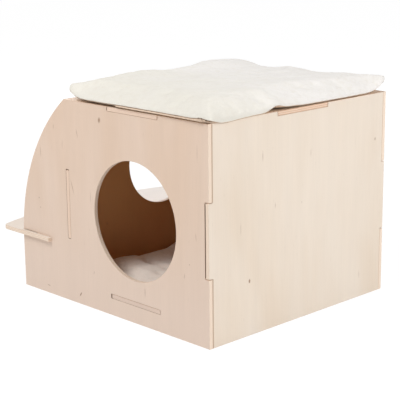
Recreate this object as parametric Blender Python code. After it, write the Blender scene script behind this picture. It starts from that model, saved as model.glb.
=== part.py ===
"""Plug-together plywood cat house with two plush mats.

Every board is cut from one thickness of plywood and joined by tabs in slots. The house is drawn
with X along its long side, Y into its depth and Z up: X is 0 at the end wall's outer face and runs
negative towards the wings, Y is 0 at the front board's outer face. One empty then carries the whole
house so that the world origin lies on the ground under the middle of it.
"""

from math import asin, atan2, cos, exp, pi, radians, sin, tan

import bmesh
import bpy
from mathutils import Vector

# Board and joints, in metres
ply = 0.008
arris = 0.0005
fit = 0.0003
slot_play = 0.0013
notch_play = 0.0018
tab_settle = 0.0007
cutter_radius = 0.0012
tab_length = 0.135

# House
house_length = 0.390
house_depth = 0.483
house_height = 0.400
wing_length = 0.147
wing_straight = 0.100
wall_tab_height = 0.195
floor_height = 0.034
entrance_diameter = 0.225
entrance_height = 0.195
inner_hole_diameter = 0.175
inner_hole_height = 0.246

# Step board
step_height = 0.110
step_overlap = 0.0925
step_reach = 0.103
step_bow = 0.045
step_ear = 0.008
step_corner = 0.015
step_play = 0.0010

# Mats
roof_mat_length = 0.398
roof_mat_width = 0.495
roof_mat_overhang = 0.010
roof_mat_thickness = 0.036
floor_mat_thickness = 0.024
floor_mat_clearance = 0.004
backing_thickness = 0.0025
mat_corner = 0.030
mat_waist = 0.007
mat_wave = 0.0030
mat_wave_length = 0.190
mat_side_share = 0.35
mat_side_bulge = 0.04
mat_side_power = 0.8

# Curled corners and the lifted edge of the roof mat: height of the lift and how far it reaches in
front_curl = 0.010
rear_curl = 0.015
curl_reach = 0.110
edge_lift = 0.008
edge_lift_reach = 0.030
edge_lift_place = -0.080

# Smoothness
hole_steps = 96
wing_steps = 28
bow_steps = 20
fillet_steps = 3
least_turn = 0.000001

# Colours, as linear red, green and blue
birch = (0.74, 0.58, 0.45)
plush = (0.80, 0.77, 0.70)
backing_cloth = (0.52, 0.36, 0.22)

panel_length = house_length + wing_length
wing_radius = (wing_length ** 2 + (house_height - wing_straight) ** 2) / (2 * wing_length)
seat = ply + fit
slot_half = tab_length / 2 + slot_play


def arc(centre, radius, start, end, steps):
    """Points on an arc between two angles in radians, both ends included."""
    if abs(end - start) < least_turn:
        return []
    angles = [start + (end - start) * i / steps for i in range(steps + 1)]
    return [(centre[0] + radius * cos(a), centre[1] + radius * sin(a), 0) for a in angles]


def detour(middle, along, half, depth):
    """Corners of a notch in an edge, or of a tab where depth is negative.

    The edge runs in the direction along, with the board on its left.
    """
    middle = Vector(middle)
    along = Vector(along)
    inward = Vector((-along.y, along.x)) * depth
    first = middle - along * half
    last = middle + along * half
    return [
        (first.x, first.y, 0),
        (first.x + inward.x, first.y + inward.y, cutter_radius),
        (last.x + inward.x, last.y + inward.y, cutter_radius),
        (last.x, last.y, 0),
    ]


def rounded(corners):
    """A closed outline from corners given as x, y and radius, each radius made as a small arc."""
    points = []
    for i, (x, y, radius) in enumerate(corners):
        here = Vector((x, y))
        if radius == 0:
            points.append(here)
            continue
        back = (Vector(corners[i - 1][:2]) - here).normalized()
        ahead = (Vector(corners[(i + 1) % len(corners)][:2]) - here).normalized()
        half_angle = back.angle(ahead) / 2
        centre = here + (back + ahead).normalized() * radius / sin(half_angle)
        start = here + back * radius / tan(half_angle) - centre
        end = here + ahead * radius / tan(half_angle) - centre
        turn = atan2(start.x * end.y - start.y * end.x, start.dot(end))
        first = atan2(start.y, start.x)
        for x, y, _ in arc(centre, radius, first, first + turn, fillet_steps):
            points.append(Vector((x, y)))
    return points


def round_hole(centre_x, centre_y, diameter):
    """A round hole, clockwise, so that the board lies on its left."""
    ring = arc((centre_x, centre_y), diameter / 2, 0, -2 * pi, hole_steps)
    return [Vector((x, y)) for x, y, _ in ring[:-1]]


def slot(x0, x1, y0, y1):
    """A closed slot, clockwise, with the cutter's radius in its corners."""
    return rounded([(x, y, cutter_radius) for x, y in ((x0, y0), (x0, y1), (x1, y1), (x1, y0))])


def rectangle(x0, x1, y0, y1, bottom=None, right=None, top=None, left=None):
    """A rectangular board, anticlockwise, each side with the middle and depth of its tab or notch."""
    sides = (
        ((x0, y0), (1, 0), bottom),
        ((x1, y0), (0, 1), right),
        ((x1, y1), (-1, 0), top),
        ((x0, y1), (0, -1), left),
    )
    corners = []
    for start, along, cut in sides:
        corners.append((start[0], start[1], 0))
        if cut:
            middle, depth = cut
            place = (middle, start[1]) if along[0] else (start[0], middle)
            half = slot_half if depth > 0 else tab_length / 2
            corners += detour(place, along, half, depth)
    return rounded(corners)


def draw_in(loop, distance):
    """The loop moved to its left, into the board, by a distance."""
    moved = []
    for i, here in enumerate(loop):
        before = (here - loop[i - 1]).normalized()
        after = (loop[(i + 1) % len(loop)] - here).normalized()
        left = Vector((-before.y - after.y, before.x + after.x)).normalized()
        lean = left.dot(Vector((-after.y, after.x)))
        moved.append(here + left * distance / lean)
    return moved


def finish(name, colour, roughness):
    """A plain material for one piece."""
    material = bpy.data.materials.new(name)
    material.use_nodes = True
    shader = material.node_tree.nodes["Principled BSDF"]
    shader.inputs["Base Color"].default_value = (*colour, 1)
    shader.inputs["Roughness"].default_value = roughness
    shader.inputs["Metallic"].default_value = 0
    return material


def add_piece(name, bm, colour, roughness, location, turn=(0, 0, 0)):
    """Turn a bmesh into a named object on the house, with its own material."""
    bmesh.ops.recalc_face_normals(bm, faces=bm.faces)
    mesh = bpy.data.meshes.new(name)
    bm.to_mesh(mesh)
    bm.free()
    mesh.shade_smooth()
    mesh.set_sharp_from_angle(angle=radians(30))
    mesh.materials.append(finish(name, colour, roughness))
    piece = bpy.data.objects.new(name, mesh)
    piece.location = location
    piece.rotation_euler = [radians(a) for a in turn]
    piece.parent = house
    bpy.context.scene.collection.objects.link(piece)
    return piece


def add_board(name, outline, holes, location, turn=(0, 0, 0)):
    """A plywood board: its outline and holes raised through the thickness, with sanded arrises."""
    bm = bmesh.new()
    levels = ((0, arris), (arris, 0), (ply - arris, 0), (ply, arris))
    rims = ([], [])
    for loop in [outline] + holes:
        rings = []
        for height, inset in levels:
            rings.append([bm.verts.new((p.x, p.y, height)) for p in draw_in(loop, inset)])
        for lower, upper in zip(rings, rings[1:]):
            for i in range(len(loop)):
                bm.faces.new((lower[i - 1], lower[i], upper[i], upper[i - 1]))
        for rim, ring in zip(rims, (rings[0], rings[-1])):
            rim += [bm.edges.get((ring[i - 1], ring[i])) for i in range(len(ring))]
    for rim in rims:
        bmesh.ops.triangle_fill(bm, use_beauty=True, edges=rim)
    return add_piece(name, bm, birch, 0.55, location, turn)


def wing_angle(height):
    """Angle on the wing's curve at a height: half a turn where the edge is still upright."""
    return pi - asin(max(0, height - wing_straight) / wing_radius)


def wing_point(height):
    """Corner on the wing's edge at a height."""
    return (-panel_length + wing_radius * (1 + cos(wing_angle(height))), height, 0)


def long_side_outline():
    """The front or back board: upright at the corner, curved at the wing, slotted for the step."""
    curve_centre = (-panel_length + wing_radius, wing_straight)
    slot_top = step_height + ply + step_play
    slot_bottom = step_height - fit
    slot_end = -panel_length + step_overlap / 2 + fit / 2
    corners = [(0, 0, 0)]
    corners += detour((0, wall_tab_height), (0, 1), slot_half, ply + notch_play)
    corners.append((0, house_height, 0))
    corners += detour((-house_length / 2, house_height), (-1, 0), slot_half, seat)
    top = wing_angle(house_height)
    mouth = wing_angle(slot_top)
    corners += arc(curve_centre, wing_radius, top, mouth, wing_steps)[:-1]
    corners += [
        wing_point(slot_top),
        (slot_end, slot_top, cutter_radius),
        (slot_end, slot_bottom, cutter_radius),
    ]
    corners += arc(curve_centre, wing_radius, wing_angle(slot_bottom), pi, 2)
    if slot_bottom <= wing_straight:
        corners.append(wing_point(slot_bottom))
    corners.append((-panel_length, 0, 0))
    return rounded(corners)


def long_side_slots():
    """Closed slots of a long side: one for the floor's tab and one for the inner wall's tab.

    The tabs don't lie centred in them: the floor's lies towards the corner and the wall's low.
    """
    middle = -house_length / 2 - tab_settle
    wall_middle = wall_tab_height + tab_settle
    floor_slot = slot(
        middle - slot_half, middle + slot_half, floor_height - fit, floor_height + ply + fit
    )
    wall_slot = slot(
        -house_length - fit,
        -house_length + ply + fit,
        wall_middle - slot_half,
        wall_middle + slot_half,
    )
    return [floor_slot, wall_slot]


def build_long_sides():
    upright = (90, 0, 0)
    entrance = round_hole(-house_length / 2, entrance_height, entrance_diameter)
    add_board(
        "front_panel", long_side_outline(), long_side_slots() + [entrance], (0, ply, 0), upright
    )
    add_board("back_panel", long_side_outline(), long_side_slots(), (0, house_depth, 0), upright)


def cross_wall_outline():
    """The end wall or the inner wall, with Y to the right: it fits between the long sides."""
    return rectangle(
        seat,
        house_depth - seat,
        0,
        house_height,
        right=(wall_tab_height, -seat),
        top=(house_depth / 2, seat),
        left=(wall_tab_height, -seat),
    )


def build_cross_walls():
    across = (90, 0, 90)
    add_board("end_panel", cross_wall_outline(), [], (-ply, 0, 0), across)
    inner_hole = round_hole(house_depth / 2, inner_hole_height, inner_hole_diameter)
    add_board(
        "partition_panel", cross_wall_outline(), [inner_hole], (-house_length, 0, 0), across
    )


def build_roof():
    outline = rectangle(
        -house_length + seat,
        -seat,
        seat,
        house_depth - seat,
        bottom=(-house_length / 2, -seat),
        right=(house_depth / 2, -seat),
        top=(-house_length / 2, -seat),
        left=(house_depth / 2, -seat),
    )
    add_board("roof_panel", outline, [], (0, 0, house_height - ply))


def build_floor():
    outline = rectangle(
        -house_length + seat,
        -seat,
        seat,
        house_depth - seat,
        bottom=(-house_length / 2, -seat),
        top=(-house_length / 2, -seat),
    )
    add_board("floor_panel", outline, [], (0, 0, floor_height))


def build_step():
    """The step, drawn from above with X 0 at the wings' upright edges."""
    half_span = house_depth / 2 + step_ear
    bow_radius = (half_span ** 2 + step_bow ** 2) / (2 * step_bow)
    swing = asin(half_span / bow_radius)
    bow_centre = (-step_reach + bow_radius, house_depth / 2)
    end_x = -step_reach + step_bow
    lap = step_overlap / 2 + fit / 2
    corners = [(step_overlap, -step_ear, 0)]
    for wing_middle in (ply / 2, house_depth - ply / 2):
        corners += detour((step_overlap, wing_middle), (0, 1), ply / 2 + fit, lap)
    corners.append((step_overlap, house_depth + step_ear, 0))
    corners.append((end_x, house_depth + step_ear, step_corner))
    corners += arc(bow_centre, bow_radius, pi - swing, pi + swing, bow_steps)[1:-1]
    corners.append((end_x, -step_ear, step_corner))
    add_board("step_board", rounded(corners), [], (-panel_length, 0, step_height))


def mat_outline(length, width):
    """Points round a mat about its middle: rounded corners, and sides drawn in between them."""
    half = Vector((length / 2, width / 2))
    side_steps = 11
    corners = []
    for sx, sy, along in ((-1, -1, 0), (1, -1, 1), (1, 1, 0), (-1, 1, 1)):
        corners.append((sx * half.x, sy * half.y, mat_corner))
        run = half[along] - mat_corner
        heading = 1 if (sx, sy) in ((-1, -1), (1, -1)) else -1
        for i in range(1, side_steps):
            place = [sx * half.x, sy * half.y]
            place[along] = heading * run * (2 * i / side_steps - 1)
            corners.append((place[0], place[1], 0))
    points = []
    for p in rounded(corners):
        x_pull = mat_waist * (p.x / half.x) * (1 - (p.y / half.y) ** 2)
        y_pull = mat_waist * (p.y / half.y) * (1 - (p.x / half.x) ** 2)
        points.append(Vector((p.x - x_pull, p.y - y_pull)))
    return points


def side_profile():
    """Rings of a cover's side and crown: how far in towards the middle, and share of full height."""
    rings = []
    for i in range(1, 8):
        a = radians(90) * i / 7
        inset = mat_side_share * (1 - cos(a)) - mat_side_bulge * sin(2 * a)
        rings.append((inset, sin(a) ** mat_side_power))
    return rings + [(0.55, 1.0), (0.78, 1.0)]


def flat_rings():
    """Rings shared by a cover's underside and its backing, from the edge inwards."""
    return (0.0, 0.10, 0.22, 0.40, 0.70)


def roof_mat_lift(x, y):
    """How far the roof mat's underside stands off the roof: curled corners and one lifted edge."""
    half_x = roof_mat_length / 2
    half_y = roof_mat_width / 2
    lift = 0
    for corner_x, corner_y, height in (
        (-half_x, -half_y, front_curl),
        (half_x, half_y, rear_curl),
    ):
        away = Vector((x - corner_x, y - corner_y)).length / curl_reach
        lift += height * max(0, 1 - away) ** 2
    away = Vector((x - half_x, y - edge_lift_place)).length / edge_lift_reach
    return lift + edge_lift * exp(-away ** 2)


def flat_lift(x, y):
    """A mat that lies flat."""
    return 0


def wave(x, y):
    """Soft rise and fall of the plush."""
    turn = 2 * pi / mat_wave_length
    rolls = sin(turn * (x + 0.35 * y) + 0.6) * cos(turn * (0.8 * y - 0.3 * x) + 0.4)
    return mat_wave * (rolls - 0.4 * sin(1.7 * turn * (x - 0.6 * y)))


def join_rings(bm, outer, inner):
    """Triangles between two rings, all cut on the same diagonal."""
    for i in range(len(outer)):
        bm.faces.new((outer[i - 1], outer[i], inner[i]))
        bm.faces.new((outer[i - 1], inner[i], inner[i - 1]))


def join_skin(bm, rings, middle_height):
    """A skin from its edge inwards, closed with a fan to the middle."""
    for outer, inner in zip(rings, rings[1:]):
        join_rings(bm, outer, inner)
    middle = bm.verts.new((0, 0, middle_height))
    for i in range(len(rings[-1])):
        bm.faces.new((rings[-1][i - 1], rings[-1][i], middle))


def build_mat(name, length, width, thickness, lift, location):
    """A mat of two pieces: its thin backing cloth and the plush cover with its filling."""
    outline = mat_outline(length, width)
    widest = 1 - min(inset for inset, _ in side_profile())
    outline_x = length / 2 / (widest * max(p.x for p in outline))
    outline_y = width / 2 / (widest * max(p.y for p in outline))
    outline = [Vector((p.x * outline_x, p.y * outline_y)) for p in outline]

    def ring(bm, inset, rise):
        points = [p * (1 - inset) for p in outline]
        return [bm.verts.new((p.x, p.y, lift(p.x, p.y) + rise(p.x, p.y))) for p in points]

    bm = bmesh.new()
    under = [ring(bm, inset, lambda x, y: 0) for inset in flat_rings()]
    over = [ring(bm, inset, lambda x, y: backing_thickness) for inset in flat_rings()]
    join_rings(bm, under[0], over[0])
    join_skin(bm, under, lift(0, 0))
    join_skin(bm, over, lift(0, 0) + backing_thickness)
    add_piece(name + "_backing", bm, backing_cloth, 0.9, location)

    bm = bmesh.new()
    base = backing_thickness + fit
    pile = thickness - base
    under = [ring(bm, inset, lambda x, y: base) for inset in flat_rings()]
    crown = [
        ring(bm, inset, lambda x, y: base + share * (pile + wave(x, y)))
        for inset, share in side_profile()
    ]
    join_rings(bm, under[0], crown[0])
    join_skin(bm, under, lift(0, 0) + base)
    join_skin(bm, crown, lift(0, 0) + base + pile + wave(0, 0))
    add_piece(name + "_cover", bm, plush, 0.95, location)


def build_mats():
    roof_middle_x = roof_mat_overhang - roof_mat_length / 2
    build_mat(
        "roof_mat",
        roof_mat_length,
        roof_mat_width,
        roof_mat_thickness,
        roof_mat_lift,
        (roof_middle_x, house_depth / 2, house_height + fit),
    )
    build_mat(
        "floor_mat",
        house_length - 2 * (ply + floor_mat_clearance),
        house_depth - 2 * (ply + floor_mat_clearance),
        floor_mat_thickness,
        flat_lift,
        (-house_length / 2, house_depth / 2, floor_height + ply + fit),
    )


for old in list(bpy.data.objects):
    bpy.data.objects.remove(old, do_unlink=True)

far_left = -(panel_length + step_reach)
far_right = max(0, roof_mat_overhang)
house = bpy.data.objects.new("house", None)
house.location = (-(far_left + far_right) / 2, -house_depth / 2, 0)
bpy.context.scene.collection.objects.link(house)

build_long_sides()
build_cross_walls()
build_roof()
build_floor()
build_step()
build_mats()
bpy.context.view_layer.update()
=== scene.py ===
"""Wooden cat house: the finish of its plywood boards, its plush mats, and a studio round it.

Places and sizes are in metres: X along the house from the step to the plain end wall, Y into its
depth from the side with the large entrance, Z up. The origin lies on the ground under its middle.
"""

from math import cos, exp, pi, radians, sin

import bmesh
import bpy
from bpy.props import FloatProperty, FloatVectorProperty, IntProperty, PointerProperty
from mathutils import Matrix, Vector, noise


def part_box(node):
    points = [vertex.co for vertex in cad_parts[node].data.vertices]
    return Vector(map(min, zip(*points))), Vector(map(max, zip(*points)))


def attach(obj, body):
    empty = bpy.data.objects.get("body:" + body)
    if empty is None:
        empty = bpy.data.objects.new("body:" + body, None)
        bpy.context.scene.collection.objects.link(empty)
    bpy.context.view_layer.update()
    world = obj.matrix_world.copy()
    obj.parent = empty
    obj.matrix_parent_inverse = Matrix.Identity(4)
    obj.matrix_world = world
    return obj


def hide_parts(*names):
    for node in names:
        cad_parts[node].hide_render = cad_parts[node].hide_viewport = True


bl_info = {
    "name": "Cat House",
    "version": (1, 0, 0),
    "blender": (4, 5, 0),
    "location": "3D View > Sidebar > Cat House",
    "description": "Finishes a plug-together plywood cat house and sets a studio round it",
    "category": "Object",
}

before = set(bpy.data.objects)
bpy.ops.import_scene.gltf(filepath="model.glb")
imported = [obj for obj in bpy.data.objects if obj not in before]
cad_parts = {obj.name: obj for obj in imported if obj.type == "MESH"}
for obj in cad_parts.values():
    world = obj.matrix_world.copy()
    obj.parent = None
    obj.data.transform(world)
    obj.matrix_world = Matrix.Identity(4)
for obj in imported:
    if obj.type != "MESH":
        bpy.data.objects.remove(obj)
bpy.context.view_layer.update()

# The cabin starts halfway through the inner wall
half_board = 0.004
cabin_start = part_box("partition_panel")[0][0] + half_board

# Boards: node, the axes through the board, across its grain and along its grain, and how strongly
# the plies show on the cut edges along the grain and on those across it
x_axis, y_axis, z_axis = 0, 1, 2
boards = (
    ("front_panel", (y_axis, x_axis, z_axis), 0.32, 0.40),
    ("back_panel", (y_axis, x_axis, z_axis), 0.15, 0.30),
    ("end_panel", (x_axis, y_axis, z_axis), 0.40, 0.40),
    ("partition_panel", (x_axis, y_axis, z_axis), 0.30, 0.40),
    ("roof_panel", (z_axis, y_axis, x_axis), 0.25, 1.00),
    ("floor_panel", (z_axis, y_axis, x_axis), 0.25, 0.40),
    ("step_board", (z_axis, x_axis, y_axis), 0.40, 0.40),
)

# Boards whose tabs show in the long sides, with plies of the long sides' own colour, and what the
# floor board's plies are tinted by
warm_tabs = ("partition_panel", "roof_panel", "floor_panel")
floor_ply_tint = (0.88, 0.91, 0.97)

# Slots and notches of the long sides, whose walls lie in shadow: middle and half size, each
# across and along the grain, and how deep the shadow is
long_side_slots = (
    (0.0500, 0.0380, 0.0060, 0.0052, 0.95),
    (0.1193, 0.0380, 0.0700, 0.0052, 0.45),
    (-0.0710, 0.1957, 0.0056, 0.0700, 0.70),
    (0.3085, 0.1950, 0.0042, 0.0660, 0.85),
    (0.1200, 0.3958, 0.0698, 0.0046, 0.30),
    (-0.2000, 0.1143, 0.0250, 0.0055, 0.45),
)
slots = {"front_panel": long_side_slots, "back_panel": long_side_slots}

# The end wall's upright edges between the long sides, its tabs' middle and half height, and where
# the painted shade of the joint's narrow gap at the front edge starts and is full, measured in from
# that edge
end_wall_edge = 0.2332
end_wall_tab = (0.195, 0.0680)
joint_shade_reach = (0.0026, 0.0012)

# Sides of the boards that face the cabin, painted in the cabin colour as painted shade: 1 on the
# high side, -1 on the low side
cabin_shaded_sides = {
    "front_panel": 1,
    "back_panel": -1,
    "end_panel": -1,
    "partition_panel": 1,
    "roof_panel": -1,
    "floor_panel": 1,
}

# Boards whose veneer is painted paler as painted light: the front board towards the ground, where
# light from the floor falls, and the step towards its far side, where light from behind falls. Each
# gives the axis, where the change starts and ends, and the paler tint
painted_light_fades = {
    "front_panel": (z_axis, 0.26, 0.00, (1.005, 1.035, 1.075)),
    "step_board": (y_axis, -0.22, 0.02, (1.02, 1.06, 1.12)),
}

# Knots and marks on a board's face: place across and along the grain, width, length, degrees of
# tilt, and how dark it is
marks = {
    "front_panel": (
        (0.029, 0.372, 0.0050, 0.0080, -10, 0.75),
        (-0.038, 0.339, 0.0016, 0.0130, 15, 0.45),
        (-0.110, 0.343, 0.0016, 0.0080, -4, 0.40),
        (-0.084, 0.312, 0.0018, 0.0150, -3, 0.22),
        (-0.154, 0.288, 0.0028, 0.0170, 2, 0.26),
        (-0.057, 0.231, 0.0014, 0.0200, 18, 0.60),
        (-0.165, 0.193, 0.0022, 0.0022, 0, 0.75),
        (-0.161, 0.174, 0.0022, 0.0018, 0, 0.60),
        (-0.003, 0.221, 0.0016, 0.0160, -4, 0.28),
        (-0.144, 0.016, 0.0014, 0.0080, 82, 0.60),
        (-0.042, 0.020, 0.0024, 0.0085, -35, 0.90),
        (0.147, 0.067, 0.0013, 0.0140, 0, 0.55),
        (0.266, 0.145, 0.0016, 0.0022, 0, 0.50),
        (0.253, 0.121, 0.0014, 0.0080, -4, 0.40),
        (0.001, 0.073, 0.0016, 0.0060, -14, 0.35),
        (0.288, 0.347, 0.0018, 0.0240, 0, 0.20),
        (0.283, 0.198, 0.0016, 0.0110, 8, 0.30),
    ),
    "end_panel": (
        (-0.107, 0.325, 0.0013, 0.0150, 0, 0.55),
        (-0.141, 0.103, 0.0034, 0.0058, 0, 0.95),
        (-0.074, 0.230, 0.0018, 0.0080, 0, 0.35),
        (-0.163, 0.203, 0.0014, 0.0180, 0, 0.30),
        (0.022, 0.312, 0.0014, 0.0110, 0, 0.35),
        (0.211, 0.311, 0.0040, 0.0050, 0, 0.45),
        (0.170, 0.046, 0.0014, 0.0130, 5, 0.35),
        (-0.002, 0.223, 0.0016, 0.0040, 0, 0.30),
    ),
    "partition_panel": (
        (-0.150, 0.140, 0.0030, 0.0060, 8, 0.25),
        (0.140, 0.340, 0.0016, 0.0150, 0, 0.45),
    ),
    "back_panel": (
        (0.190, 0.300, 0.0050, 0.0080, 12, 0.80),
        (-0.020, 0.110, 0.0018, 0.0140, -6, 0.45),
        (0.080, 0.215, 0.0016, 0.0170, 4, 0.35),
        (-0.120, 0.060, 0.0024, 0.0028, 0, 0.60),
        (0.260, 0.090, 0.0014, 0.0120, 0, 0.50),
    ),
}

# Soft hills, each a place from the mat's middle, a spread and a height: where the roof mat stands
# off the roof, and where the mats' filling lies thicker or thinner
roof_mat_hills = (
    (-0.198, -0.247, 0.030, 0.0200),
    (0.200, 0.250, 0.040, 0.0235),
    (0.200, -0.080, 0.020, 0.0080),
    (0.200, -0.045, 0.030, 0.0020),
)
roof_mat_lumps = (
    (-0.185, -0.225, 0.035, -0.002),
    (-0.160, -0.150, 0.060, 0.005),
    (-0.160, -0.090, 0.060, 0.006),
    (-0.160, -0.030, 0.050, 0.005),
    (-0.160, 0.005, 0.030, 0.003),
    (-0.160, 0.065, 0.050, 0.009),
    (-0.150, 0.130, 0.050, 0.008),
    (-0.145, 0.180, 0.050, 0.001),
    (-0.095, 0.225, 0.040, -0.006),
    (-0.030, 0.200, 0.050, -0.001),
    (0.067, 0.215, 0.028, -0.008),
    (0.120, 0.200, 0.045, 0.0005),
    (0.195, 0.240, 0.060, -0.0085),
)
floor_mat_lumps = (
    (-0.150, -0.160, 0.050, 0.011),
    (-0.155, -0.095, 0.045, 0.006),
    (-0.155, -0.040, 0.045, 0.008),
    (-0.155, 0.020, 0.045, 0.013),
    (-0.150, 0.080, 0.050, 0.008),
    (-0.060, -0.158, 0.045, 0.006),
    (-0.035, -0.085, 0.040, 0.009),
    (-0.060, 0.080, 0.080, 0.008),
    (0.090, 0.030, 0.080, 0.004),
)

# Creases pressed into the plush: two ends from the mat's middle, width and depth
roof_mat_creases = (
    (-0.100, 0.035, -0.055, 0.047, 0.009, 0.0022),
    (-0.025, 0.062, 0.018, 0.076, 0.009, 0.0024),
    (0.015, -0.045, 0.068, -0.022, 0.010, 0.0016),
    (-0.020, -0.190, 0.010, -0.166, 0.010, 0.0016),
    (0.170, -0.105, 0.205, -0.085, 0.010, 0.0020),
    (0.125, -0.150, 0.160, -0.125, 0.010, 0.0018),
    (0.070, 0.190, 0.100, 0.215, 0.010, 0.0040),
)
floor_mat_creases = (
    (-0.130, -0.106, -0.092, -0.122, 0.010, 0.009),
    (-0.092, -0.122, -0.035, -0.124, 0.007, 0.007),
    (-0.040, -0.155, -0.010, -0.150, 0.006, 0.003),
    (-0.060, -0.030, 0.030, 0.000, 0.010, 0.006),
)

# Along the roof mat's front edge: where the pucker of its seam is, how wide and how high, and the
# ends of the stretch where the backing shows, each with a soft change
pucker_place = 0.184
pucker_width = 0.016
pucker_height = 0.0052
backing_shows_from = (-0.062, -0.040)
backing_shows_to = (0.188, 0.176)

# Lamps: name, place and size. Each one's power is the setting of its name
lamps = (
    ("side_light", (2.3, 0.25, 1.0), 1.2),
    ("front_light", (-0.25, -1.75, 2.3), 1.2),
    ("top_light", (0.1, 0.0, 2.6), 2.4),
    ("step_light", (-2.0, 1.7, 1.0), 1.6),
)


def colour_setting(name, description, default):
    """A setting for a colour."""
    return FloatVectorProperty(
        name=name, description=description, subtype="COLOR", default=default, min=0, max=1
    )


def power_setting(name, description, default):
    """A setting for a light's power."""
    return FloatProperty(name=name, description=description, default=default, min=0, unit="POWER")


class CatHouseBoards(bpy.types.PropertyGroup):
    """Colours and figure of the plywood."""

    front_veneer: colour_setting(
        "Front veneer", "Face colour of the long sides and the inner wall", (0.765, 0.59, 0.47)
    )
    end_veneer: colour_setting(
        "End veneer", "Face colour of the end wall, the roof and the floor", (0.79, 0.68, 0.57)
    )
    step_veneer: colour_setting("Step veneer", "Face colour of the step", (0.80, 0.71, 0.63))
    # Painted shade: the dim, warm light inside the cabin, painted into the colour of the boards'
    # sides that face it
    cabin_shade_veneer: colour_setting(
        "Cabin veneer", "Face colour of the boards' sides that face the cabin", (0.70, 0.375, 0.155)
    )
    cut: colour_setting("Long ply", "Colour of the plies cut along their grain", (0.80, 0.67, 0.55))
    core: colour_setting(
        "Cross ply", "Colour of the plies cut across their grain", (0.72, 0.47, 0.31)
    )
    # Glue colour, also used for painted shade in joints, on the slots' walls and along the cut
    # edges' arrises
    glue_and_shade: colour_setting(
        "Glue line", "Colour of the lines between plies and in joints", (0.40, 0.24, 0.14)
    )
    mark: colour_setting("Knots", "Colour of knots and small marks", (0.27, 0.14, 0.07))
    ply_count: IntProperty(
        name="Plies",
        description="Layers of veneer through a board",
        default=5,
        min=3,
        max=9,
    )
    figure: FloatProperty(
        name="Figure",
        description="Strength of the veneer's tones",
        default=1.0,
        min=0,
        max=3,
        subtype="FACTOR",
    )


class CatHouseMats(bpy.types.PropertyGroup):
    """Colours and filling of the mats."""

    plush: colour_setting("Plush", "Main colour of the plush", (0.80, 0.77, 0.71))
    floor_plush: colour_setting(
        "Floor plush", "Main colour of the floor mat's plush", (0.97, 0.88, 0.81)
    )
    shade: colour_setting("Plush shade", "Colour deep in the pile", (0.72, 0.67, 0.58))
    backing: colour_setting("Backing", "Colour of the backing cloth", (0.76, 0.58, 0.44))
    roof_thickness: FloatProperty(
        name="Roof mat",
        description="Thickness of the roof mat at its crown",
        default=0.031,
        min=0.01,
        max=0.06,
        unit="LENGTH",
    )
    floor_thickness: FloatProperty(
        name="Floor mat",
        description="Thickness of the floor mat at its crown",
        default=0.024,
        min=0.01,
        max=0.06,
        unit="LENGTH",
    )
    pressure: FloatProperty(
        name="Filling",
        description="How hard the filling swells the cover",
        default=4.0,
        min=0,
        max=20,
    )
    cell: FloatProperty(
        name="Mesh size",
        description="Size of the mesh that the cover is simulated on",
        default=0.0055,
        min=0.002,
        max=0.02,
        unit="LENGTH",
    )


class CatHouseStage(bpy.types.PropertyGroup):
    """Floor, lights and camera."""

    floor_colour: colour_setting("Floor", "Colour of the floor", (0.88, 0.88, 0.88))
    side_light: power_setting("Side light", "Power of the soft light on the end wall", 23.5)
    front_light: power_setting("Front light", "Power of the soft light on the front board", 41.0)
    step_light: power_setting(
        "Step light", "Power of the soft light on the step and the inner wall", 14.0
    )
    top_light: power_setting("Top light", "Power of the soft light from above", 14.0)
    room_light: FloatProperty(
        name="Room light",
        description="Level of the even light from all round",
        default=0.28,
        min=0,
        max=2,
    )
    azimuth: FloatProperty(
        name="Azimuth",
        description="Turn of the camera round the house, from the front towards the end wall",
        default=radians(45.99),
        subtype="ANGLE",
    )
    elevation: FloatProperty(
        name="Elevation",
        description="Height of the camera above the horizon",
        default=radians(13.91),
        subtype="ANGLE",
    )
    roll: FloatProperty(
        name="Roll",
        description="Lean of the camera",
        default=radians(-0.567),
        subtype="ANGLE",
    )
    lens: FloatProperty(
        name="Lens",
        description="Focal length in millimetres",
        default=110.03,
        min=10,
        max=500,
    )
    camera_place: FloatVectorProperty(
        name="Camera place",
        description="Where the camera stands",
        subtype="TRANSLATION",
        unit="LENGTH",
        default=(1.7505, -1.6484, 0.7679),
    )


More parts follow.
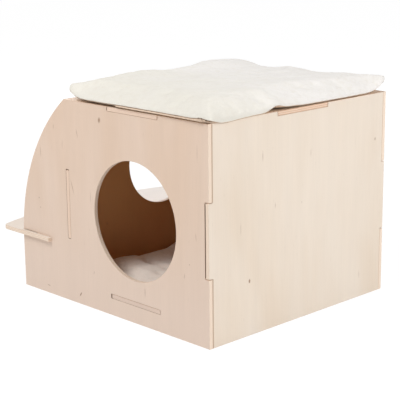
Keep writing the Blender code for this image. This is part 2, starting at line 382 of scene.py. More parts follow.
class Finish:
    """One material while it is made, with short ways to add nodes and join them."""

    def __init__(self, name, roughness):
        self.material = bpy.data.materials.new(name)
        self.material.use_nodes = True
        self.tree = self.material.node_tree
        self.shader = self.tree.nodes["Principled BSDF"]
        self.shader.inputs["Roughness"].default_value = roughness
        self.coords = self.node("ShaderNodeTexCoord", {})

    def node(self, kind, values, **settings):
        """Add a node, make its settings, and set or join its inputs by name or number."""
        made = self.tree.nodes.new(kind)
        for name, value in settings.items():
            setattr(made, name, value)
        for key, value in values.items():
            self.feed(made.inputs[key], value)
        return made

    def feed(self, socket, value):
        """Join a socket to a socket, or set its value."""
        if isinstance(value, bpy.types.NodeSocket):
            self.tree.links.new(value, socket)
        else:
            socket.default_value = value

    def parts(self, name):
        """The three parts of a place or of a normal."""
        return self.node("ShaderNodeSeparateXYZ", {0: self.coords.outputs[name]}).outputs

    def maths(self, operation, first, second=0.0, third=0.0):
        values = {0: first, 1: second, 2: third}
        return self.node("ShaderNodeMath", values, operation=operation).outputs[0]

    def vector(self, operation, first, second):
        values = {0: first, 1: second}
        return self.node("ShaderNodeVectorMath", values, operation=operation).outputs[0]

    def step(self, value, low, high):
        """0 below low and 1 above high, with a soft rise between them."""
        values = {"Value": value, "From Min": low, "From Max": high}
        made = self.node("ShaderNodeMapRange", values, interpolation_type="SMOOTHSTEP")
        return made.outputs[0]

    def blend(self, factor, first, second, how="MIX"):
        """Blend two colours."""
        values = {0: factor, 6: first, 7: second}
        made = self.node("ShaderNodeMix", values, data_type="RGBA", blend_type=how)
        return made.outputs[2]

    def noise(self, place, scale, detail=2.0, distortion=0.0):
        """Cloudy noise between 0 and 1."""
        values = {"Vector": place, "Scale": scale, "Detail": detail, "Distortion": distortion}
        return self.node("ShaderNodeTexNoise", values).outputs[0]

    def bump(self, height, strength, distance):
        """Join a height in metres to the shader's normal."""
        values = {"Height": height, "Strength": strength, "Distance": distance}
        made = self.node("ShaderNodeBump", values)
        self.feed(self.shader.inputs["Normal"], made.outputs[0])


def shade_of(colour, factor):
    """A colour for a socket, made lighter or darker by a factor."""
    return (*[min(1.0, c * factor) for c in colour], 1.0)


def tinted(colour, tint):
    """A colour times a tint, part by part."""
    return [c * t for c, t in zip(colour, tint)]


def mark_mask(finish, board, places):
    """How dark the knots and marks make each place on a board's face."""
    total = 0.0
    rough_edge = finish.noise(board, 700.0, 2.0)
    for across, along, width, length, tilt, darkness in places:
        values = {
            "Vector": board,
            "Location": (across, along, 0.0),
            "Rotation": (0.0, 0.0, radians(tilt)),
            "Scale": (width, length, 1.0),
        }
        near = finish.node("ShaderNodeMapping", values, vector_type="TEXTURE").outputs[0]
        flat = finish.vector("MULTIPLY", near, (1.0, 1.0, 0.0))
        away = finish.node("ShaderNodeVectorMath", {0: flat}, operation="LENGTH").outputs[1]
        ragged = finish.maths("MULTIPLY_ADD", rough_edge, 0.5, away)
        spot = finish.maths("MULTIPLY", finish.step(ragged, 1.15, 0.45), darkness)
        total = spot if total == 0.0 else finish.maths("MAXIMUM", total, spot)
    return total


def slot_mask(finish, place_across, place_along, places):
    """How deep the shadow on the walls of a board's slots is, and 0 elsewhere."""
    total = 0.0
    for middle_across, middle_along, half_across, half_along, shadow in places:
        off_across = finish.maths("ABSOLUTE", finish.maths("SUBTRACT", place_across, middle_across))
        off_along = finish.maths("ABSOLUTE", finish.maths("SUBTRACT", place_along, middle_along))
        inside = finish.maths(
            "MULTIPLY",
            finish.maths("LESS_THAN", off_across, half_across),
            finish.maths("LESS_THAN", off_along, half_along),
        )
        shaded = finish.maths("MULTIPLY", inside, shadow)
        total = shaded if total == 0.0 else finish.maths("MAXIMUM", total, shaded)
    return total


def joint_gap_shade(finish, place_across, place_along):
    """1 on the thin line of painted shade in the joint between the end wall's face and the front
    board.
    """
    towards_front = finish.maths("MULTIPLY", place_across, -1.0)
    start, full = (end_wall_edge - reach for reach in joint_shade_reach)
    line = finish.step(towards_front, start, full)
    off_tab = finish.maths("ABSOLUTE", finish.maths("SUBTRACT", place_along, end_wall_tab[0]))
    beside_tab = finish.maths("GREATER_THAN", off_tab, end_wall_tab[1])
    return finish.maths("MULTIPLY", line, beside_tab)


def veneered_faces(finish, node, board, axes, veneer):
    """Colour of a board's faces, with painted light and painted shade where set, and the height of
    their grain for the bump.
    """
    options = bpy.context.scene.cat_house_boards
    through, across, along = axes
    place = finish.parts("Object")
    facing = finish.parts("Normal")
    shift = (sum(ord(letter) for letter in node) % 17) * 0.61
    veneer_place = finish.vector("ADD", board, (shift, 0.7 * shift, 0.3 * shift))

    def grain(stretch, scale, detail, distortion=0.0):
        """Noise drawn out along the grain."""
        drawn_out = finish.vector("MULTIPLY", veneer_place, (1.0, stretch, 1.0))
        return finish.noise(drawn_out, scale, detail, distortion)

    broad = grain(0.30, 7.0, 3.0, 0.4)
    flame = grain(0.09, 42.0, 3.0, 0.5)
    fibre = grain(0.025, 520.0, 2.0)
    pores = grain(0.07, 900.0, 1.0)

    warm = shade_of(tinted(veneer, (0.995, 0.97, 0.935)), 0.975)
    pale = shade_of(tinted(veneer, (1.005, 1.02, 1.035)), 1.015)
    face = finish.blend(finish.step(broad, 0.32, 0.68), warm, pale)
    # Painted light: the veneer is painted paler where more light falls on it
    if node in painted_light_fades:
        axis, start, end, tint = painted_light_fades[node]
        painted_paler = finish.step(place[axis], start, end)
        face = finish.blend(painted_paler, face, shade_of(tinted(veneer, tint), 1.0))
    # Painted shade: the sides that face the cabin take the darker, warmer cabin colour
    if node in cabin_shaded_sides:
        inward = finish.maths("MULTIPLY", facing[through], cabin_shaded_sides[node])
        behind = finish.step(place[x_axis], cabin_start, cabin_start + half_board)
        inside = finish.maths("MULTIPLY", finish.step(inward, 0.6, 0.9), behind)
        face = finish.blend(inside, face, (*options.cabin_shade_veneer, 1.0))
    tone = finish.maths("MULTIPLY_ADD", flame, 0.07 * options.figure, 1.0 - 0.035 * options.figure)
    tone = finish.maths("MULTIPLY_ADD", fibre, 0.06 * options.figure, tone)
    tone = finish.maths("SUBTRACT", tone, 0.03 * options.figure)
    face = finish.blend(1.0, face, tone, "MULTIPLY")
    pore = finish.maths("MULTIPLY", finish.step(pores, 0.72, 0.82), 0.16)
    face = finish.blend(pore, face, (*options.mark, 1.0))
    if node == "end_panel":
        # Painted shade in the narrow gap of the joint with the front board
        line = finish.maths("MULTIPLY", joint_gap_shade(finish, place[across], place[along]), 0.85)
        face = finish.blend(line, face, (*options.glue_and_shade, 1.0))
    if node in marks:
        face = finish.blend(mark_mask(finish, board, marks[node]), face, (*options.mark, 1.0))
    return face, finish.maths("MULTIPLY_ADD", pores, -0.5, fibre)


def cut_edges(finish, node, board, axes, side_strength, end_strength):
    """Colour of a board's cut edges: plies along and across the grain by turns, their glue, painted
    shade along their arrises, and painted shadow on the walls of slots.
    """
    options = bpy.context.scene.cat_house_boards
    through, across, along = axes
    place = finish.parts("Object")
    facing = finish.parts("Normal")
    low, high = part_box(node)
    thickness = high[through] - low[through]
    depth = finish.maths("SUBTRACT", place[through], low[through])
    layer = finish.maths("DIVIDE", depth, thickness / options.ply_count)
    sway = finish.noise(board, 60.0, 1.0)
    layer = finish.maths("MULTIPLY_ADD", sway, 0.16, layer)
    layer = finish.maths("SUBTRACT", layer, 0.08)
    odd = finish.maths("MODULO", finish.maths("FLOOR", layer), 2.0)
    end_on = finish.step(finish.maths("ABSOLUTE", facing[along]), 0.45, 0.85)
    crossed = finish.maths("ABSOLUTE", finish.maths("SUBTRACT", odd, end_on))
    strength = finish.maths("MULTIPLY_ADD", end_on, end_strength - side_strength, side_strength)
    light_ply = options.front_veneer if node in warm_tabs else options.cut
    if node == "floor_panel":
        light_ply = tinted(light_ply, floor_ply_tint)
    dark_share = finish.maths("MULTIPLY", crossed, strength)
    cut = finish.blend(dark_share, shade_of(light_ply, 1.1), (*options.core, 1.0))
    speckle = finish.noise(board, 1500.0, 2.0)
    cut = finish.blend(1.0, cut, finish.maths("MULTIPLY_ADD", speckle, 0.16, 0.92), "MULTIPLY")
    to_glue = finish.maths("ABSOLUTE", finish.maths("SUBTRACT", finish.maths("FRACT", layer), 0.5))
    glue_share = finish.maths("MULTIPLY_ADD", strength, 0.30, 0.12)
    glue_line = finish.maths("MULTIPLY", finish.step(to_glue, 0.38, 0.47), glue_share)
    cut = finish.blend(glue_line, cut, (*options.glue_and_shade, 1.0))
    # Painted shade: a dark line along both arrises of every cut edge, where joints and contact
    # shadows show
    from_middle = finish.maths("ABSOLUTE", finish.maths("MULTIPLY_ADD", depth, 1 / thickness, -0.5))
    rim = finish.maths("MULTIPLY", finish.step(from_middle, 0.43, 0.49), 0.35)
    cut = finish.blend(rim, cut, (*options.glue_and_shade, 1.0))
    if node in slots:
        shadow = slot_mask(finish, place[across], place[along], slots[node])
        cut = finish.blend(shadow, cut, shade_of(options.glue_and_shade, 0.5))
    return cut


def plywood(node, axes, side_strength, end_strength, veneer):
    """Birch plywood for one board: veneer on its faces and the stack of plies on its cut edges."""
    finish = Finish(node + "_plywood", 0.52)
    through, across, along = axes
    place = finish.parts("Object")
    turned = {0: place[across], 1: place[along], 2: place[through]}
    board = finish.node("ShaderNodeCombineXYZ", turned).outputs[0]
    face, grain_height = veneered_faces(finish, node, board, axes, veneer)
    cut = cut_edges(finish, node, board, axes, side_strength, end_strength)
    facing = finish.maths("ABSOLUTE", finish.parts("Normal")[through])
    on_edge = finish.step(facing, 0.90, 0.60)
    finish.feed(finish.shader.inputs["Base Color"], finish.blend(on_edge, face, cut))
    finish.bump(grain_height, 0.25, 0.0004)
    return finish.material


def plush_finish(name, colour, shade, hem):
    """Short plush: soft tone blotches, painted paler towards the back, a fine pile, a sheen, and
    underneath the hem's colour, darkened and warmed as painted shade.
    """
    finish = Finish(name, 0.95)
    place = finish.coords.outputs["Object"]
    blotch = finish.noise(place, 9.0, 3.0, 0.6)
    clumps = finish.noise(place, 95.0, 3.0, 0.4)
    pile = finish.noise(place, 620.0, 2.0)
    pale = shade_of(tinted(colour, (1.0, 1.0, 1.04)), 1.03)
    cream = shade_of(tinted(colour, (1.0, 0.995, 0.97)), 0.96)
    # Painted light and shade: paler towards the back and creamier towards the front, to even out how
    # the light falls; the blotches vary the tone at random
    painted_paler_back = finish.step(finish.parts("Object")[y_axis], -0.24, 0.12)
    mottled = finish.maths("MULTIPLY_ADD", finish.maths("SUBTRACT", blotch, 0.5), 1.2, painted_paler_back)
    tint = finish.blend(finish.step(mottled, -0.1, 1.1), cream, pale)
    deep = finish.maths("MULTIPLY", finish.step(clumps, 0.55, 0.25), 0.35)
    tint = finish.blend(deep, tint, (*shade, 1.0))
    tint = finish.blend(1.0, tint, finish.maths("MULTIPLY_ADD", pile, 0.10, 0.95), "MULTIPLY")
    # Partly the hem's own colour, partly painted shade: the downward sides are darkened and warmed
    # like the brown shadow under the mat
    underside = shade_of(tinted(hem, (1.0, 0.88, 0.72)), 0.6)
    downward_painted_shade = finish.step(finish.parts("Normal")[z_axis], -0.15, -0.55)
    tint = finish.blend(downward_painted_shade, tint, underside)
    finish.feed(finish.shader.inputs["Base Color"], tint)
    finish.shader.inputs["Sheen Weight"].default_value = 0.25
    finish.shader.inputs["Sheen Roughness"].default_value = 0.6
    finish.shader.inputs["Specular IOR Level"].default_value = 0.2
    height = finish.maths("MULTIPLY_ADD", clumps, 1.6, pile)
    finish.bump(height, 0.5, 0.0016)
    return finish.material


def backing_finish(name, colour):
    """Plain woven cloth: two sets of threads crossing."""
    finish = Finish(name, 0.9)
    thread = 0.0011
    place = finish.parts("Object")
    warp = finish.maths("SINE", finish.maths("MULTIPLY", place[x_axis], 2 * pi / thread))
    weft = finish.maths("SINE", finish.maths("MULTIPLY", place[y_axis], 2 * pi / thread))
    weave = finish.maths("MULTIPLY", warp, weft)
    fleck = finish.noise(finish.coords.outputs["Object"], 260.0, 3.0)
    tone = finish.maths("MULTIPLY_ADD", weave, 0.08, 0.86)
    tone = finish.maths("MULTIPLY_ADD", fleck, 0.28, tone)
    tint = finish.blend(1.0, (*colour, 1.0), tone, "MULTIPLY")
    finish.feed(finish.shader.inputs["Base Color"], tint)
    finish.bump(weave, 0.3, 0.0003)
    return finish.material


def line_steps(half, cell):
    """Places of a mat's mesh lines from -1 to 1, closer together near its edges."""
    edge_band = 0.022
    near = [1.0 - inset / half for inset in (0.0, 0.0012, 0.0030, 0.0060, 0.0105, 0.0160)]
    count = round(2 * (half - edge_band) / cell)
    inner = [(2 * i / count - 1) * (1.0 - edge_band / half) for i in range(count + 1)]
    return [-step for step in near] + inner + near[::-1]


def corner_of(place, corners):
    """Radius of the corner nearest to a place: near left, near right, far left, far right."""
    return corners[(1 if place.x > 0 else 0) + (2 if place.y > 0 else 0)]


def to_edge(place, half, corners):
    """How far a place in a mat with rounded corners lies inside its edge."""
    corner = corner_of(place, corners)
    out_x = abs(place.x) - half.x + corner
    out_y = abs(place.y) - half.y + corner
    outside = Vector((max(out_x, 0.0), max(out_y, 0.0))).length
    return max(0.0, corner - outside - min(max(out_x, out_y), 0.0))


def round_off(u, v, half, corners):
    """Place in a mat of a point of the square from -1 to 1, with the corners rounded."""
    flat = Vector((u * half.x, v * half.y))
    reach = max(abs(u), abs(v))
    if reach == 0.0:
        return flat
    edge = flat / reach
    corner = corner_of(edge, corners)
    over = Vector((abs(edge.x) - half.x + corner, abs(edge.y) - half.y + corner))
    if min(over) > 0:
        turned = over.normalized() * corner
        edge.x += (turned.x - over.x) * (1 if edge.x > 0 else -1)
        edge.y += (turned.y - over.y) * (1 if edge.y > 0 else -1)
    return flat.lerp(edge * reach, reach ** 6)


def draw_in(place, half, waist):
    """Pull a mat's sides in a little between its corners, and make its edge slightly uneven."""
    across = place.x / half.x
    along = place.y / half.y
    wave = 0.0012 * noise.noise(Vector((place.x, place.y, 0.7)) * 24.0)
    x = place.x - (waist * (1 - along ** 2) + wave) * across
    y = place.y - (waist * (1 - across ** 2) + wave) * along
    return Vector((x, y))


def fall_sum(x, y, spots):
    """Sum of soft round hills, each given by its place, its spread and its height."""
    return sum(
        height * exp(-((x - cx) ** 2 + (y - cy) ** 2) / spread ** 2)
        for cx, cy, spread, height in spots
    )


def crease_sum(x, y, creases):
    """Depth of the creases at a place on a mat."""
    here = Vector((x, y))
    depth = 0.0
    for x0, y0, x1, y1, width, deep in creases:
        start = Vector((x0, y0))
        run = Vector((x1, y1)) - start
        along = max(0.0, min(1.0, (here - start).dot(run) / run.length_squared))
        away = (here - start - run * along).length
        fade = sin(pi * (0.15 + 0.7 * along))
        depth += deep * fade * exp(-(away / width) ** 2)
    return depth


def pillow(name, half, corners, waist, cell, top, rim, under):
    """A closed flat body: an upper side, rings round its edge and an underside.

    The upper side and the underside are grids of quads, finer near the edge.
    """
    bm = bmesh.new()
    across = line_steps(half.x, cell)
    along = line_steps(half.y, cell)
    plan = [[round_off(u, v, half, corners) for v in along] for u in across]

    def corner_point(place, inset, height):
        """A point at a place of the plan, moved in from the edge."""
        drawn = draw_in(place, half, waist)
        x = drawn.x * (1 - inset / half.x)
        y = drawn.y * (1 - inset / half.y)
        return bm.verts.new((x, y, height))

    upper = []
    lower = []
    for row in plan:
        upper.append([corner_point(p, 0.0, top(p, to_edge(p, half, corners))) for p in row])
    last_inset = rim[-1](plan[0][0])[0]
    last_column = len(along) - 1
    last_row = len(across) - 1
    border = [(0, j) for j in range(last_column)]
    border += [(i, last_column) for i in range(last_row)]
    border += [(last_row, j) for j in range(last_column, 0, -1)]
    border += [(i, 0) for i in range(last_row, 0, -1)]
    ring = [upper[i][j] for i, j in border]
    for level in rim:
        beyond = [corner_point(plan[i][j], *level(plan[i][j])) for i, j in border]
        for k in range(len(ring)):
            bm.faces.new((ring[k - 1], ring[k], beyond[k], beyond[k - 1]))
        ring = beyond
    at_border = dict(zip(border, ring))
    for i, row in enumerate(plan):
        lower.append([])
        for j, p in enumerate(row):
            known = at_border.get((i, j))
            height = under(p, to_edge(p, half, corners))
            lower[-1].append(known or corner_point(p, last_inset, height))
    for sheet, order in ((upper, 1), (lower, -1)):
        for i in range(last_row):
            for j in range(last_column):
                face = (sheet[i][j], sheet[i + 1][j], sheet[i + 1][j + 1], sheet[i][j + 1])
                bm.faces.new(face[::order])
    bmesh.ops.recalc_face_normals(bm, faces=bm.faces)
    if bm.calc_volume(signed=True) < 0:
        bmesh.ops.reverse_faces(bm, faces=bm.faces)
    mesh = bpy.data.meshes.new(name)
    bm.to_mesh(mesh)
    bm.free()
    piece = bpy.data.objects.new(name, mesh)
    bpy.context.scene.collection.objects.link(piece)
    return piece


def apply_modifiers(piece):
    """Keep a piece's mesh as its modifiers leave it."""
    depsgraph = bpy.context.evaluated_depsgraph_get()
    mesh = bpy.data.meshes.new_from_object(piece.evaluated_get(depsgraph))
    piece.modifiers.clear()
    old = piece.data
    mesh.name = piece.name
    piece.data = mesh
    bpy.data.meshes.remove(old)


def swell(piece, pressure, cap, held):
    """Blow a cover up by its filling, with the points at its seam and underside left in place.

    No point moves further than the cap, and only a share of its move to the side is kept.
    """
    settle_frames = 20
    kept_sideways = 0.3
    scene = bpy.context.scene
    group = piece.vertex_groups.new(name="held")
    group.add([v.index for v in piece.data.vertices if held(v.co)], 1.0, "REPLACE")
    before = [v.co.copy() for v in piece.data.vertices]
    cloth = piece.modifiers.new("Filling", "CLOTH")
    cloth.settings.vertex_group_mass = "held"
    cloth.settings.use_pressure = True
    cloth.settings.uniform_pressure_force = pressure
    cloth.settings.effector_weights.gravity = 0.0
    cloth.settings.quality = 5
    cloth.settings.tension_stiffness = 12.0
    cloth.settings.compression_stiffness = 12.0
    cloth.settings.shrink_min = -0.012
    cloth.point_cache.frame_start = 1
    cloth.point_cache.frame_end = settle_frames
    for step in range(1, settle_frames + 1):
        scene.frame_set(step)
    apply_modifiers(piece)
    scene.frame_set(1)
    moved = []
    for vertex, start in zip(piece.data.vertices, before):
        move = vertex.co - start
        move.x *= kept_sideways
        move.y *= kept_sideways
        share = min(1.0, cap / max(move.length, cap))
        moved.extend(start + move * share)
    piece.data.vertices.foreach_set("co", moved)
    piece.data.update()
    piece.vertex_groups.clear()


def move_points(piece, place_of):
    """Move every point of a piece to the place worked out from where it is and its normal."""
    vertices = piece.data.vertices
    before = [(v.co.copy(), v.normal.copy()) for v in vertices]
    vertices.foreach_set("co", [c for co, normal in before for c in place_of(co, normal)])
    piece.data.update()


def refine(piece, levels):
    """Subdivide a piece and keep the result."""
    modifier = piece.modifiers.new("Fine mesh", "SUBSURF")
    modifier.levels = levels
    modifier.render_levels = levels
    apply_modifiers(piece)


def ramp(value, low, high):
    """0 below low and 1 above high, with a soft rise between them."""
    share = min(1.0, max(0.0, (value - low) / (high - low)))
    return share * share * (3 - 2 * share)


def roof_mat_edge_rise(x, y, half):
    """How far the roof mat's edge stands off the roof: least at the near end of the end wall."""
    front = ramp(-y, half.y - 0.030, half.y - 0.005) * ramp(-x, -0.196, -0.170)
    far_end = ramp(x, half.x - 0.030, half.x - 0.005) * ramp(y, -0.120, -0.020)
    return 0.0006 + 0.0026 * front + 0.0018 * far_end


def roof_mat_tuck(x, y, half):
    """0 along the stretch of the front edge where the backing shows, and 1 elsewhere."""
    front = ramp(-y, half.y - 0.030, half.y - 0.010)
    start = ramp(x, *backing_shows_from)
    end = ramp(-x, *(-place for place in backing_shows_to))
    return 1 - front * start * end


def roof_mat_seam(x, y, half):
    """How far the seam lies above the backing: more at a pucker, less where the corner hangs."""
    front = ramp(-y, half.y - 0.030, half.y - 0.010)
    pucker = pucker_height * exp(-((x - pucker_place) / pucker_width) ** 2)
    beyond_roof = ramp(x, half.x - 0.012, half.x - 0.008) * ramp(y, -0.246, -0.234)
    near = 0.0008 * ramp(-y, 0.060, 0.110)
    hanging = near + 0.0026 * exp(-((y + 0.205) / 0.034) ** 2)
    return front * (0.0008 + pucker) - beyond_roof * hanging


def all_over(value):
    """A rule of a mat's shape that has one value everywhere."""
    return lambda x, y, half: value


def build_mat(name, thickness, shape):
    """A plush cover with its filling and the thin backing cloth sewn under it.

    The shape gives rules of x, y and the mat's half size: edge_rise is how far the edge stands off
    what the mat lies on, tuck is 0 where the backing shows and 1 where not, and seam is how far the
    seam lies above its usual height.
    """
    options = bpy.context.scene.cat_house_mats
    low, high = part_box(name + "_cover")
    base_low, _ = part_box(name + "_backing")
    middle = Vector(((low[0] + high[0]) / 2, (low[1] + high[1]) / 2, base_low[2]))
    half = Vector(((high[0] - low[0]) / 2 - 0.001, (high[1] - low[1]) / 2 - 0.001))
    corners = shape["corners"]
    cloth = 0.0024
    belly = 0.0050
    edge_reach = 0.052
    rise_reach = 0.030
    held_height = 0.007
    most_swell = 0.004
    broad_wave = 0.0022
    small_wave = 0.0010
    pile_height = 0.00035

    def underside(x, y, inset):
        """Underside of the mat, which rises towards its edge as the shape says."""
        rise = shape["edge_rise"](x, y, half) * max(0.0, 1 - inset / rise_reach) ** 2
        return fall_sum(x, y, shape["hills"]) + rise

    def tuck(x, y):
        """1 where the plush hangs down over the backing and 0 where the backing shows."""
        return shape["tuck"](x, y, half)

    def crown(p, inset):
        full = thickness + fall_sum(p.x, p.y, shape["lumps"])
        away = 1 - min(1.0, inset / edge_reach)
        share = (1 - away ** 2.1) ** 0.58
        return underside(p.x, p.y, inset) + belly + share * (full - belly)

    def rim_ring(inset, shown, tucked):
        """A ring round the edge, at one height where the backing shows and at one where not."""

        def place(p):
            height = shown + (tucked - shown) * tuck(p.x, p.y) + shape["seam"](p.x, p.y, half)
            return inset, underside(p.x, p.y, 0.0) + height

        return place

    def cover_under(p, inset):
        return underside(p.x, p.y, inset) + cloth + 0.0004

    rim = (
        rim_ring(0.0000, cloth + 0.0008, 0.0034),
        rim_ring(0.0002, cloth - 0.0005, 0.0018),
        rim_ring(0.0028, cloth - 0.0005, 0.0005),
        rim_ring(0.0054, cloth + 0.0004, 0.0010),
        rim_ring(0.0064, cloth + 0.0004, cloth + 0.0004),
    )
    cover = pillow(
        name + "_plush", half, corners, shape["waist"], options.cell, crown, rim, cover_under
    )

    def backing_ring(share):
        """A ring round the backing, at a share of its height, which grows at the pucker."""

        def place(p):
            height = share * (cloth + max(0.0, shape["seam"](p.x, p.y, half)))
            return 0.0085 * tuck(p.x, p.y) - 0.0014, underside(p.x, p.y, 0.0) + height

        return place

    def backing_top(p, inset):
        return underside(p.x, p.y, inset) + cloth

    def backing_under(p, inset):
        return underside(p.x, p.y, inset)

    backing = pillow(
        name + "_cloth", half, corners, shape["waist"], 3 * options.cell, backing_top,
        (backing_ring(0.9), backing_ring(0.3), backing_ring(0.0)), backing_under,
    )

    def held(co):
        """Whether the filling leaves a point in place."""
        return co.z < underside(co.x, co.y, 0.0) + held_height

    swell(cover, options.pressure, most_swell, held)
    refine(cover, 1)

    def creased(co, normal):
        """A place on the cover with its soft unevenness, its creases and the fine pile."""
        height = (co.z - fall_sum(co.x, co.y, shape["hills"]) - belly) / (thickness - belly)
        share = min(1.0, max(0.0, height / 0.7))
        if share > 0:
            spot = Vector((co.x, co.y, shape["seed"]))
            broad = broad_wave * noise.noise(spot * 20.0)
            small = small_wave * noise.noise(spot * 52.0)
            co.z += share * (broad + small - crease_sum(co.x, co.y, shape["creases"]))
        return co + normal * pile_height * noise.noise(co * 260.0)

    move_points(cover, creased)
    fur = plush_finish(name + "_plush", shape["plush"], options.shade, options.backing)
    weave = backing_finish(name + "_cloth", options.backing)
    for piece, slot, material in ((cover, "plush", fur), (backing, "backing_cloth", weave)):
        piece.location = middle
        piece.data.materials.clear()
        piece.data.materials.append(material)
        piece.data.shade_smooth()
        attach(piece, name)
    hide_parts(name + "_cover")
    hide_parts(name + "_backing")


class CATHOUSE_OT_finish_boards(bpy.types.Operator):
    """Give every plywood board its veneer, knots and layered edges"""

    bl_idname = "cat_house.finish_boards"
    bl_label = "Finish Boards"

    def execute(self, context):
        options = context.scene.cat_house_boards
        veneers = {
            "front_panel": options.front_veneer,
            "back_panel": options.front_veneer,
            "partition_panel": options.front_veneer,
            "step_board": options.step_veneer,
        }
        for node, *layout in boards:
            veneer = veneers.get(node, options.end_veneer)
            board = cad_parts[node]
            material = plywood(node, *layout, veneer)
            for slot in board.material_slots:
                slot.material = material
        return {"FINISHED"}


class CATHOUSE_OT_lay_roof_mat(bpy.types.Operator):
    """Lay the plush mat on the roof, with its curled corners and its lifted edge"""

    bl_idname = "cat_house.lay_roof_mat"
    bl_label = "Lay Roof Mat"

    def execute(self, context):
        shape = {
            "hills": roof_mat_hills,
            "edge_rise": roof_mat_edge_rise,
            "tuck": roof_mat_tuck,
            "seam": roof_mat_seam,
            "lumps": roof_mat_lumps,
            "creases": roof_mat_creases,
            "corners": (0.034, 0.012, 0.034, 0.030),
            "waist": 0.002,
            "plush": context.scene.cat_house_mats.plush,
            "seed": 0.3,
        }
        build_mat("roof_mat", context.scene.cat_house_mats.roof_thickness, shape)
        return {"FINISHED"}


class CATHOUSE_OT_lay_floor_mat(bpy.types.Operator):
    """Lay the plush mat on the floor board inside the house"""

    bl_idname = "cat_house.lay_floor_mat"
    bl_label = "Lay Floor Mat"

    def execute(self, context):
        shape = {
            "hills": (),
            "edge_rise": all_over(0.0010),
            "tuck": all_over(1.0),
            "seam": all_over(0.0),
            "lumps": floor_mat_lumps,
            "creases": floor_mat_creases,
            "corners": (0.034, 0.034, 0.034, 0.034),
            "waist": 0.004,
            "plush": context.scene.cat_house_mats.floor_plush,
            "seed": 1.9,
        }
        build_mat("floor_mat", context.scene.cat_house_mats.floor_thickness, shape)
        return {"FINISHED"}


class CATHOUSE_OT_set_stage(bpy.types.Operator):
    """Set the floor, the soft lights, the white surround and the camera"""

    bl_idname = "cat_house.set_stage"
    bl_label = "Set Stage"

    def execute(self, context):
        scene = context.scene
        options = scene.cat_house_stage
        lay_floor(options)
        light_room(scene, options)
        for name, place, size in lamps:
            hang_light(scene, name, place, size, getattr(options, name))
        set_camera(scene, options)
        scene.view_settings.view_transform = "Standard"
        return {"FINISHED"}


def lay_floor(options):
    """A wide pale floor that the camera sees as white, with the house's shadow kept."""
    half = 6.0
    below_feet = 0.0004
    glow_near, more_glow_far = 1.085, 0.05
    glow_share, more_for_camera = 0.50, 0.34
    bm = bmesh.new()
    ends = ((-half, -half), (half, -half), (half, half), (-half, half))
    bm.faces.new([bm.verts.new((x, y, -below_feet)) for x, y in ends])
    mesh = bpy.data.meshes.new("floor")
    bm.to_mesh(mesh)
    bm.free()
    floor = bpy.data.objects.new("floor", mesh)
    bpy.context.scene.collection.objects.link(floor)
    finish = Finish("floor", 0.9)
    finish.feed(finish.shader.inputs["Base Color"], (*options.floor_colour, 1.0))
    place = finish.coords.outputs["Object"]
    away = finish.node("ShaderNodeVectorMath", {0: place}, operation="LENGTH").outputs[1]
    far = finish.step(away, 0.9, 2.6)
    strength = finish.maths("MULTIPLY_ADD", far, more_glow_far, glow_near)
    glow = finish.node("ShaderNodeEmission", {"Color": (1.0, 1.0, 1.0, 1.0), "Strength": strength})
    rays = finish.node("ShaderNodeLightPath", {})
    camera_ray = rays.outputs["Is Camera Ray"]
    share = finish.maths("MULTIPLY_ADD", camera_ray, more_for_camera, glow_share)
    sources = {0: share, 1: finish.shader.outputs[0], 2: glow.outputs[0]}
    both = finish.node("ShaderNodeMixShader", sources)
    output = finish.tree.nodes["Material Output"]
    finish.feed(output.inputs["Surface"], both.outputs[0])
    mesh.materials.append(finish.material)


def light_room(scene, options):
    """An even surround: white to the camera, straight on or through a piece, and softer as light."""
    world = bpy.data.worlds.new("surround")
    world.use_nodes = True
    scene.world = world
    tree = world.node_tree
    rays = tree.nodes.new("ShaderNodeLightPath")
    shown = tree.nodes.new("ShaderNodeMath")
    shown.operation = "MAXIMUM"
    tree.links.new(rays.outputs["Is Camera Ray"], shown.inputs[0])
    tree.links.new(rays.outputs["Is Transmission Ray"], shown.inputs[1])
    level = tree.nodes.new("ShaderNodeMapRange")
    level.inputs["To Min"].default_value = options.room_light
    level.inputs["To Max"].default_value = 1.0
    tree.links.new(shown.outputs[0], level.inputs["Value"])
    surround = tree.nodes["Background"]
    surround.inputs["Color"].default_value = (1.0, 1.0, 1.0, 1.0)
    tree.links.new(level.outputs[0], surround.inputs["Strength"])


def hang_light(scene, name, place, size, power):
    """A soft square light aimed at the middle of the house."""
    lamp = bpy.data.lights.new(name, "AREA")
    lamp.size = size
    lamp.energy = power
    light = bpy.data.objects.new(name, lamp)
    light.location = place
    aim = Vector((0.05, 0.0, 0.2)) - Vector(place)
    light.rotation_euler = aim.to_track_quat("-Z", "Y").to_euler()
    scene.collection.objects.link(light)


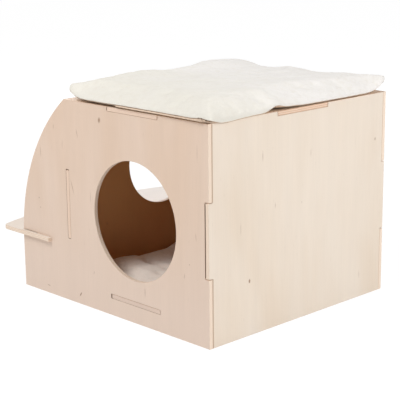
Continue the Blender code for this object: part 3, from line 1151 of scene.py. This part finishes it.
def set_camera(scene, options):
    """The camera, turned, raised and leaned as the stage's settings say."""
    turn, lift, roll = options.azimuth, options.elevation, options.roll
    back = Vector((sin(turn) * cos(lift), -cos(turn) * cos(lift), sin(lift)))
    right = Vector((0, 0, 1)).cross(back).normalized()
    up = back.cross(right)
    leaned_right = right * cos(roll) + up * sin(roll)
    leaned_up = up * cos(roll) - right * sin(roll)
    view = bpy.data.cameras.new("camera")
    view.lens = options.lens
    view.sensor_width = 36.0
    view.dof.use_dof = False
    camera = bpy.data.objects.new("camera", view)
    camera.rotation_euler = Matrix((leaned_right, leaned_up, back)).transposed().to_euler()
    camera.location = options.camera_place
    scene.collection.objects.link(camera)
    scene.camera = camera


class CATHOUSE_PT_panel(bpy.types.Panel):
    """The cat house's steps and settings"""

    bl_label = "Cat House"
    bl_idname = "CATHOUSE_PT_panel"
    bl_space_type = "VIEW_3D"
    bl_region_type = "UI"
    bl_category = "Cat House"

    def draw(self, context):
        scene = context.scene
        settings = (scene.cat_house_boards, scene.cat_house_mats, scene.cat_house_stage)
        steps = (
            (CATHOUSE_OT_finish_boards,),
            (CATHOUSE_OT_lay_roof_mat, CATHOUSE_OT_lay_floor_mat),
            (CATHOUSE_OT_set_stage,),
        )
        for options, operators in zip(settings, steps):
            box = self.layout.box()
            for name in options.__annotations__:
                box.prop(options, name)
            for operator in operators:
                box.operator(operator.bl_idname)


groups = (
    ("cat_house_boards", CatHouseBoards),
    ("cat_house_mats", CatHouseMats),
    ("cat_house_stage", CatHouseStage),
)
classes = (
    CATHOUSE_OT_finish_boards,
    CATHOUSE_OT_lay_roof_mat,
    CATHOUSE_OT_lay_floor_mat,
    CATHOUSE_OT_set_stage,
    CATHOUSE_PT_panel,
)


def register():
    for name, group in groups:
        bpy.utils.register_class(group)
        setattr(bpy.types.Scene, name, PointerProperty(type=group))
    for kind in classes:
        bpy.utils.register_class(kind)


def unregister():
    for kind in reversed(classes):
        bpy.utils.unregister_class(kind)
    for name, group in reversed(groups):
        delattr(bpy.types.Scene, name)
        bpy.utils.unregister_class(group)


def main():
    register()
    bpy.ops.cat_house.finish_boards()
    bpy.ops.cat_house.lay_roof_mat()
    bpy.ops.cat_house.lay_floor_mat()
    bpy.ops.cat_house.set_stage()


if __name__ == "__main__":
    main()
